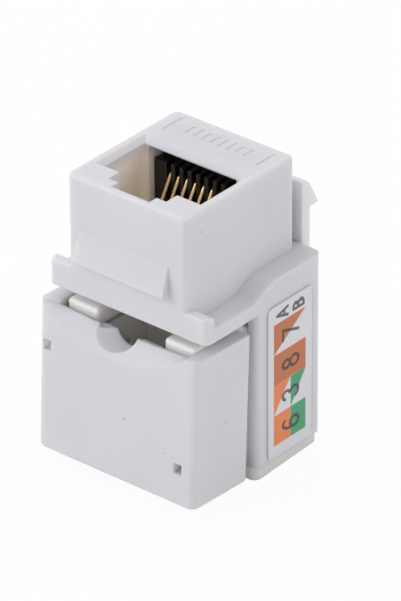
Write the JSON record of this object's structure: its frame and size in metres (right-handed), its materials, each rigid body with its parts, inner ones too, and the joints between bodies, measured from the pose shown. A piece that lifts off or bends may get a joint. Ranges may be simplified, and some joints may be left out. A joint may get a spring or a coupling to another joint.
{
  "type": "keystone jack",
  "caption": "Snap-in keystone jack with a modular port, a fixed catch and a sprung latch, a two-tower punch-down wiring block with printed wiring labels, and a clip-on dust cap.",
  "frame": {"origin": "on the flat sole under the foot, below the middle of the port block's width, 9.0 mm behind the port block's front face", "axes": "+Z along the plug's path out of the port, +Y towards the sprung latch, -Y towards the wiring towers and the dust cap, +X towards the right label plate"},
  "size_m": [0.0199, 0.0217, 0.0312],
  "materials": {
    "white_plastic": "satin",
    "cream_plastic": "satin",
    "black_plastic": "satin",
    "gold_plating": "polished",
    "blade_metal": "tinned",
    "board": "matt",
    "label": "printed"
  },
  "bodies": {
    "jack": {"front_housing": "white_plastic", "contact_insert": "black_plastic", "contact_leads": "gold_plating", "idc_block": "cream_plastic", "circuit_board": "board", "rear_cover": "white_plastic", "label_left": "label", "label_right": "label", "idc_blade_left_1": "blade_metal", "idc_blade_left_2": "blade_metal", "idc_blade_left_3": "blade_metal", "idc_blade_left_4": "blade_metal", "idc_blade_right_1": "blade_metal", "idc_blade_right_2": "blade_metal", "idc_blade_right_3": "blade_metal", "idc_blade_right_4": "blade_metal"},
    "latch": {"latch_arm": "white_plastic"},
    "contacts": {"port_contact_1": "gold_plating", "port_contact_2": "gold_plating", "port_contact_3": "gold_plating", "port_contact_4": "gold_plating", "port_contact_5": "gold_plating", "port_contact_6": "gold_plating", "port_contact_7": "gold_plating", "port_contact_8": "gold_plating"},
    "cap": {"dust_cap": "white_plastic"}
  },
  "joints": [
    {"name": "latch_press", "type": "hinge", "parent": "jack", "child": "latch", "pos_m": [0, 0.00889, 0.02013], "axis": [1, 0, 0], "range_deg": [0, 8], "stiffness_Nm_per_rad": 0.5},
    {"name": "contact_press", "type": "hinge", "parent": "jack", "child": "contacts", "pos_m": [0, 0.00209, 0.02739], "axis": [1, 0, 0], "range_deg": [0, 18], "stiffness_Nm_per_rad": 0.1},
    {"name": "cap_slide", "type": "slide", "parent": "jack", "child": "cap", "axis": [0, -0.999, 0.0454], "range_m": [0, 0.012]}
  ]
}
